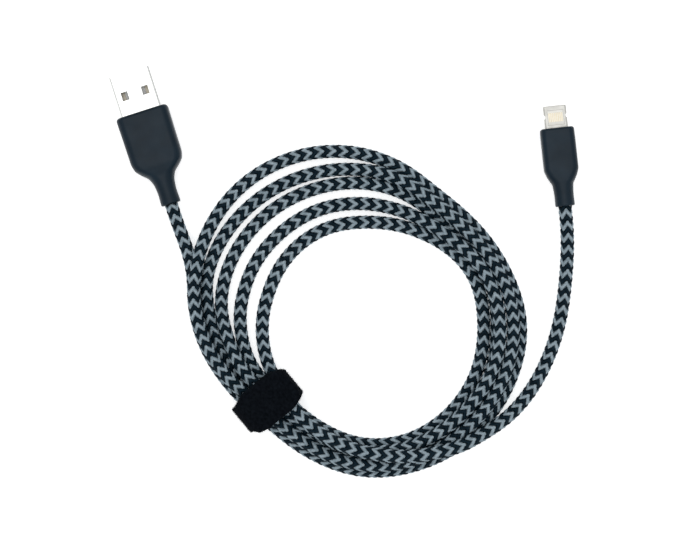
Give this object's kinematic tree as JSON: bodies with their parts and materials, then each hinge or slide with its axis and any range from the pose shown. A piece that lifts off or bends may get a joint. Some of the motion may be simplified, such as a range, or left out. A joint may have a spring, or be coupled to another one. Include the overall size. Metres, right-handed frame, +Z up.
{
  "type": "charging cable",
  "caption": "Braided two-tone charging cable with a type A plug and a small reversible plug, wound in a flat loose coil and held by a black hook-and-loop tie",
  "frame": {"origin": "On the surface the cable lies on, under the middle of the box round the two plugs and the tie", "axes": "+Z is up out of the surface, +X runs from the type A plug towards the small plug, and +Y points away from the tie, roughly the way both plugs point"},
  "size_m": [0.1356, 0.1189, 0.0117],
  "materials": {
    "nickel": "bright nickel plate",
    "steel": "plain rolled steel",
    "gold": "gold flash over copper alloy",
    "soft_black": "matt, slightly blue black moulding",
    "white_plastic": "moulded, satin",
    "inner_mould": "moulded, hidden",
    "board_green": "solder mask",
    "chip_black": "moulded package",
    "braid": "two-tone grey and black braid",
    "strap_black": "hook-and-loop tape, fuzzy",
    "wire_red": "extruded insulation",
    "wire_white": "extruded insulation",
    "wire_green": "extruded insulation",
    "wire_black": "extruded insulation"
  },
  "bodies": {
    "cable": {"cable_coil": "braid", "cable_lead_type_a": "braid", "cable_lead_eight_pin": "braid", "strap_band": "strap_black"},
    "type_a_plug": {"type_a_cable_clamp": "steel", "type_a_cable_end": "braid", "type_a_contact_data_minus": "gold", "type_a_contact_data_plus": "gold", "type_a_contact_ground": "gold", "type_a_contact_power": "gold", "type_a_grip": "soft_black", "type_a_inner_mould": "inner_mould", "type_a_neck": "soft_black", "type_a_rear_shield": "steel", "type_a_shell": "nickel", "type_a_tongue": "white_plastic", "type_a_wire_data_minus": "wire_white", "type_a_wire_data_plus": "wire_green", "type_a_wire_ground": "wire_black", "type_a_wire_power": "wire_red"},
    "eight_pin_plug": {"eight_pin_board": "board_green", "eight_pin_cable_clamp": "steel", "eight_pin_cable_end": "braid", "eight_pin_chip": "chip_black", "eight_pin_contact_bottom_1": "gold", "eight_pin_contact_bottom_2": "gold", "eight_pin_contact_bottom_3": "gold", "eight_pin_contact_bottom_4": "gold", "eight_pin_contact_bottom_5": "gold", "eight_pin_contact_bottom_6": "gold", "eight_pin_contact_bottom_7": "gold", "eight_pin_contact_bottom_8": "gold", "eight_pin_contact_carrier": "white_plastic", "eight_pin_contact_top_1": "gold", "eight_pin_contact_top_2": "gold", "eight_pin_contact_top_3": "gold", "eight_pin_contact_top_4": "gold", "eight_pin_contact_top_5": "gold", "eight_pin_contact_top_6": "gold", "eight_pin_contact_top_7": "gold", "eight_pin_contact_top_8": "gold", "eight_pin_grip": "soft_black", "eight_pin_inner_mould": "inner_mould", "eight_pin_neck": "soft_black", "eight_pin_shield_can": "steel", "eight_pin_tip_frame": "nickel", "eight_pin_wire_data_minus": "wire_white", "eight_pin_wire_data_plus": "wire_green", "eight_pin_wire_ground": "wire_black", "eight_pin_wire_power": "wire_red"},
    "tie_tail": {"strap_hooks": "strap_black", "strap_tail": "strap_black"}
  },
  "joints": [
    {"name": "type_a_flex", "type": "hinge", "parent": "cable", "child": "type_a_plug", "pos_m": [-0.05106, 0.01725, 0.004], "axis": [0, 0, 1], "range_deg": [-30, 30], "stiffness_Nm_per_rad": 0.01, "deforming": ["type_a_neck", "type_a_cable_end"]},
    {"name": "eight_pin_flex", "type": "hinge", "parent": "cable", "child": "eight_pin_plug", "pos_m": [0.06372, 0.01632, 0.003], "axis": [0, 0, 1], "range_deg": [-30, 30], "stiffness_Nm_per_rad": 0.005, "deforming": ["eight_pin_neck", "eight_pin_cable_end"]},
    {"name": "tail_peel", "type": "hinge", "parent": "cable", "child": "tie_tail", "pos_m": [-0.02905, -0.04957, 0.0046], "axis": [0.6361, -0.7716, 0], "range_deg": [0, 110]}
  ]
}
